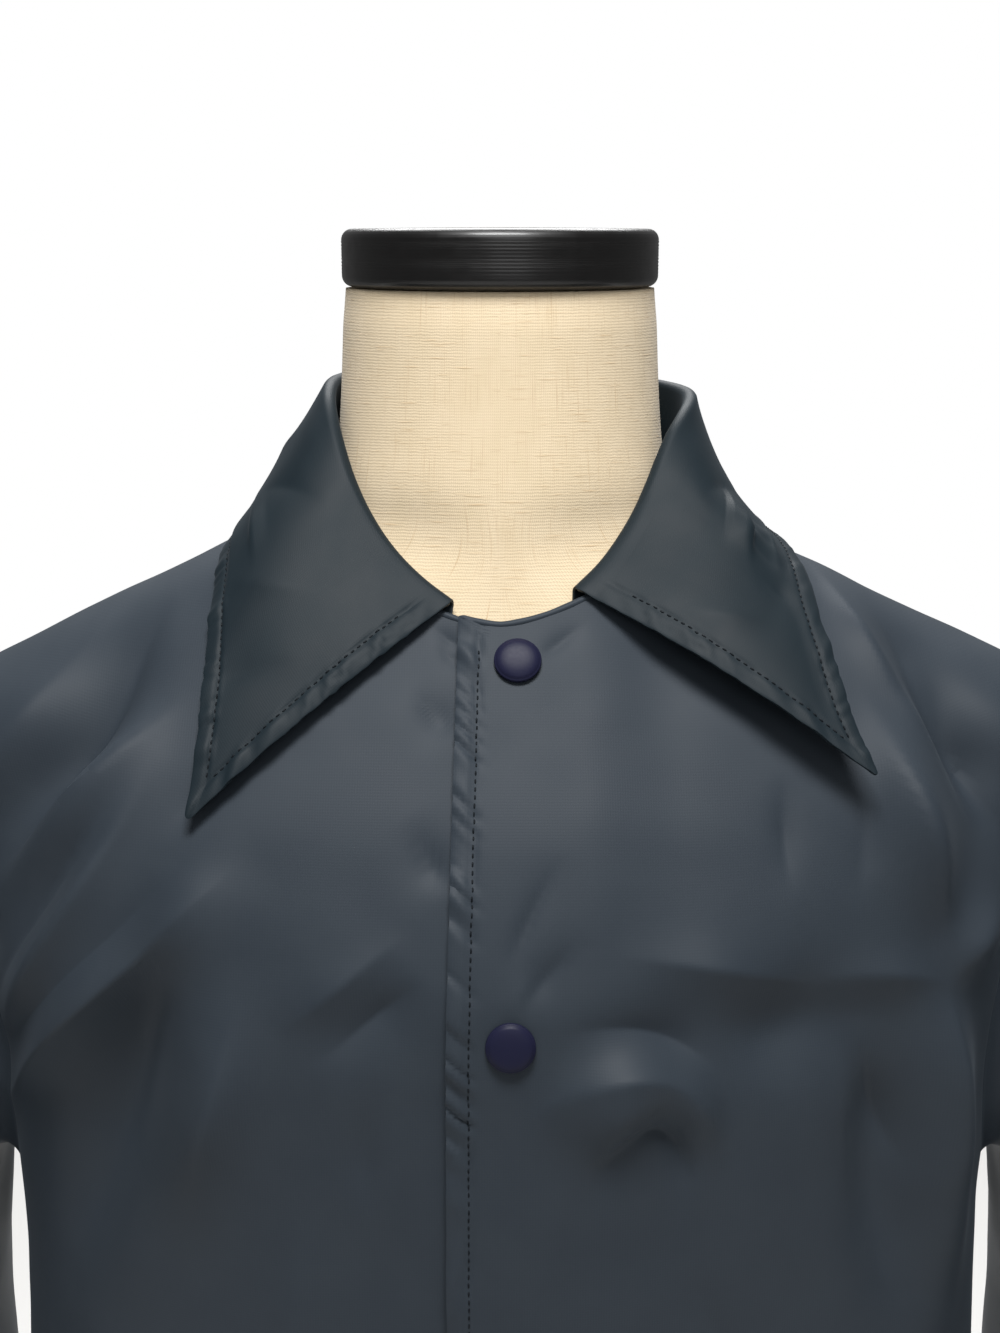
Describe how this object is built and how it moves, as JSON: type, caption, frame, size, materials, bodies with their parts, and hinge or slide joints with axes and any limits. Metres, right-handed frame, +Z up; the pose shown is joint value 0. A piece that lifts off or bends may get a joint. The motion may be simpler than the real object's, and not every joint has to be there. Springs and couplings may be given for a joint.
{
  "type": "nylon jacket on a dress form",
  "caption": "Snap-front nylon jacket with a folded collar and long hanging sleeves, worn by a limbless linen-covered dress form with a turned wooden neck cap.",
  "frame": {"origin": "on the floor, in the middle of the dress form's flat foot", "axes": "+Z up, -Y the front of the jacket, +X the wearer's left"},
  "size_m": [0.5438, 0.2566, 0.8857],
  "materials": {
    "nylon": "plain-woven dark slate nylon with a soft sheen",
    "snap_plastic": "glossy dark navy moulded caps",
    "linen": "slubby cream linen, tightly covered",
    "lacquered_wood": "turned wood, black satin lacquer"
  },
  "bodies": {
    "root": {"front_left": "nylon", "front_right": "nylon", "back": "nylon", "sleeve_left": "nylon", "sleeve_right": "nylon", "collar": "nylon", "snap_1": "snap_plastic", "snap_2": "snap_plastic", "snap_3": "snap_plastic", "snap_4": "snap_plastic", "snap_5": "snap_plastic", "snap_6": "snap_plastic", "dress_form": "linen", "neck_cap": "lacquered_wood"}
  },
  "joints": []
}
